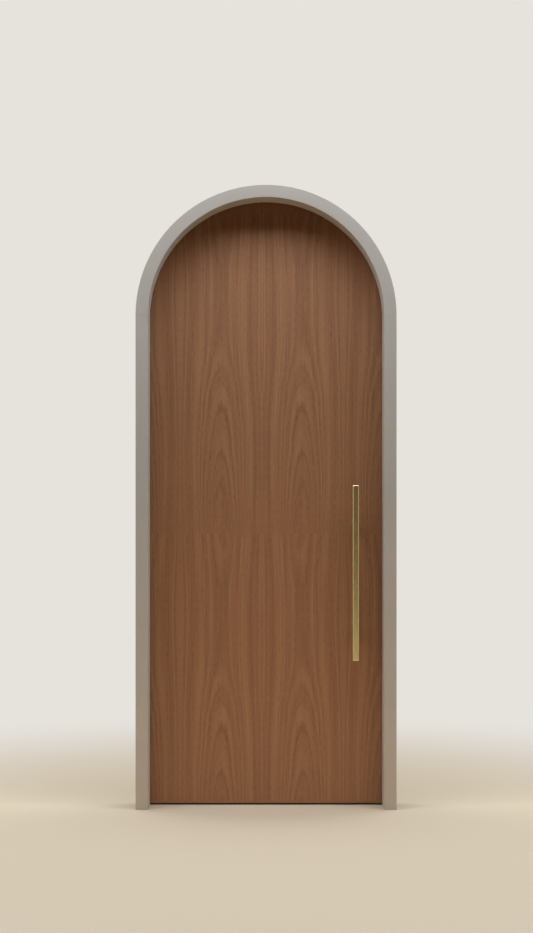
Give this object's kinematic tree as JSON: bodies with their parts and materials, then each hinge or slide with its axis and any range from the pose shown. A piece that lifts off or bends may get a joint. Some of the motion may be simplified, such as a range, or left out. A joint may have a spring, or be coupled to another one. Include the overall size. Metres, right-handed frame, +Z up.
{
  "type": "arched doorset",
  "caption": "Walnut-veneered door leaf with a half-round top, hung on butt hinges in a deep arched lining, with a long squared pull bar with rounded edges on each face.",
  "frame": {"origin": "centre of the hinge jamb's foot, on the floor, at mid-depth of the lining", "axes": "+Z up; +X from the hinge jamb across the doorway to the latch jamb; the front, from which the stops show, faces -Y, and the leaf opens towards +Y"},
  "size_m": [1.04, 0.226, 2.49],
  "materials": {
    "lining_paint": "matte",
    "walnut": "satin",
    "core_board": "matte",
    "satin_brass": "satin",
    "seal_rubber": "matte"
  },
  "bodies": {
    "lining": {"hinge_jamb": "lining_paint", "latch_jamb": "lining_paint", "arch_head_hinge_side": "lining_paint", "arch_head_latch_side": "lining_paint", "seal_hinge_side": "seal_rubber", "seal_latch_side": "seal_rubber", "seal_arch": "seal_rubber", "catch_keep": "satin_brass", "hinge_1_jamb_plate": "satin_brass", "hinge_2_jamb_plate": "satin_brass", "hinge_3_jamb_plate": "satin_brass", "hinge_4_jamb_plate": "satin_brass", "hinge_1_pin": "satin_brass", "hinge_2_pin": "satin_brass", "hinge_3_pin": "satin_brass", "hinge_4_pin": "satin_brass"},
    "leaf": {"leaf_core": "core_board", "front_panel": "walnut", "back_panel": "walnut", "hinge_lipping": "walnut", "latch_lipping": "walnut", "arch_lipping": "walnut", "foot_lipping": "walnut", "catch_plate": "satin_brass", "hinge_1_leaf_plate": "satin_brass", "hinge_2_leaf_plate": "satin_brass", "hinge_3_leaf_plate": "satin_brass", "hinge_4_leaf_plate": "satin_brass", "front_pull_bar": "satin_brass", "front_pull_lower_post": "satin_brass", "front_pull_upper_post": "satin_brass", "back_pull_bar": "satin_brass", "back_pull_lower_post": "satin_brass", "back_pull_upper_post": "satin_brass"}
  },
  "joints": [
    {"name": "leaf_swing", "type": "hinge", "parent": "lining", "child": "leaf", "pos_m": [0.01325, 0.0835, 0], "axis": [0, 0, 1], "range_deg": [0, 110]}
  ]
}
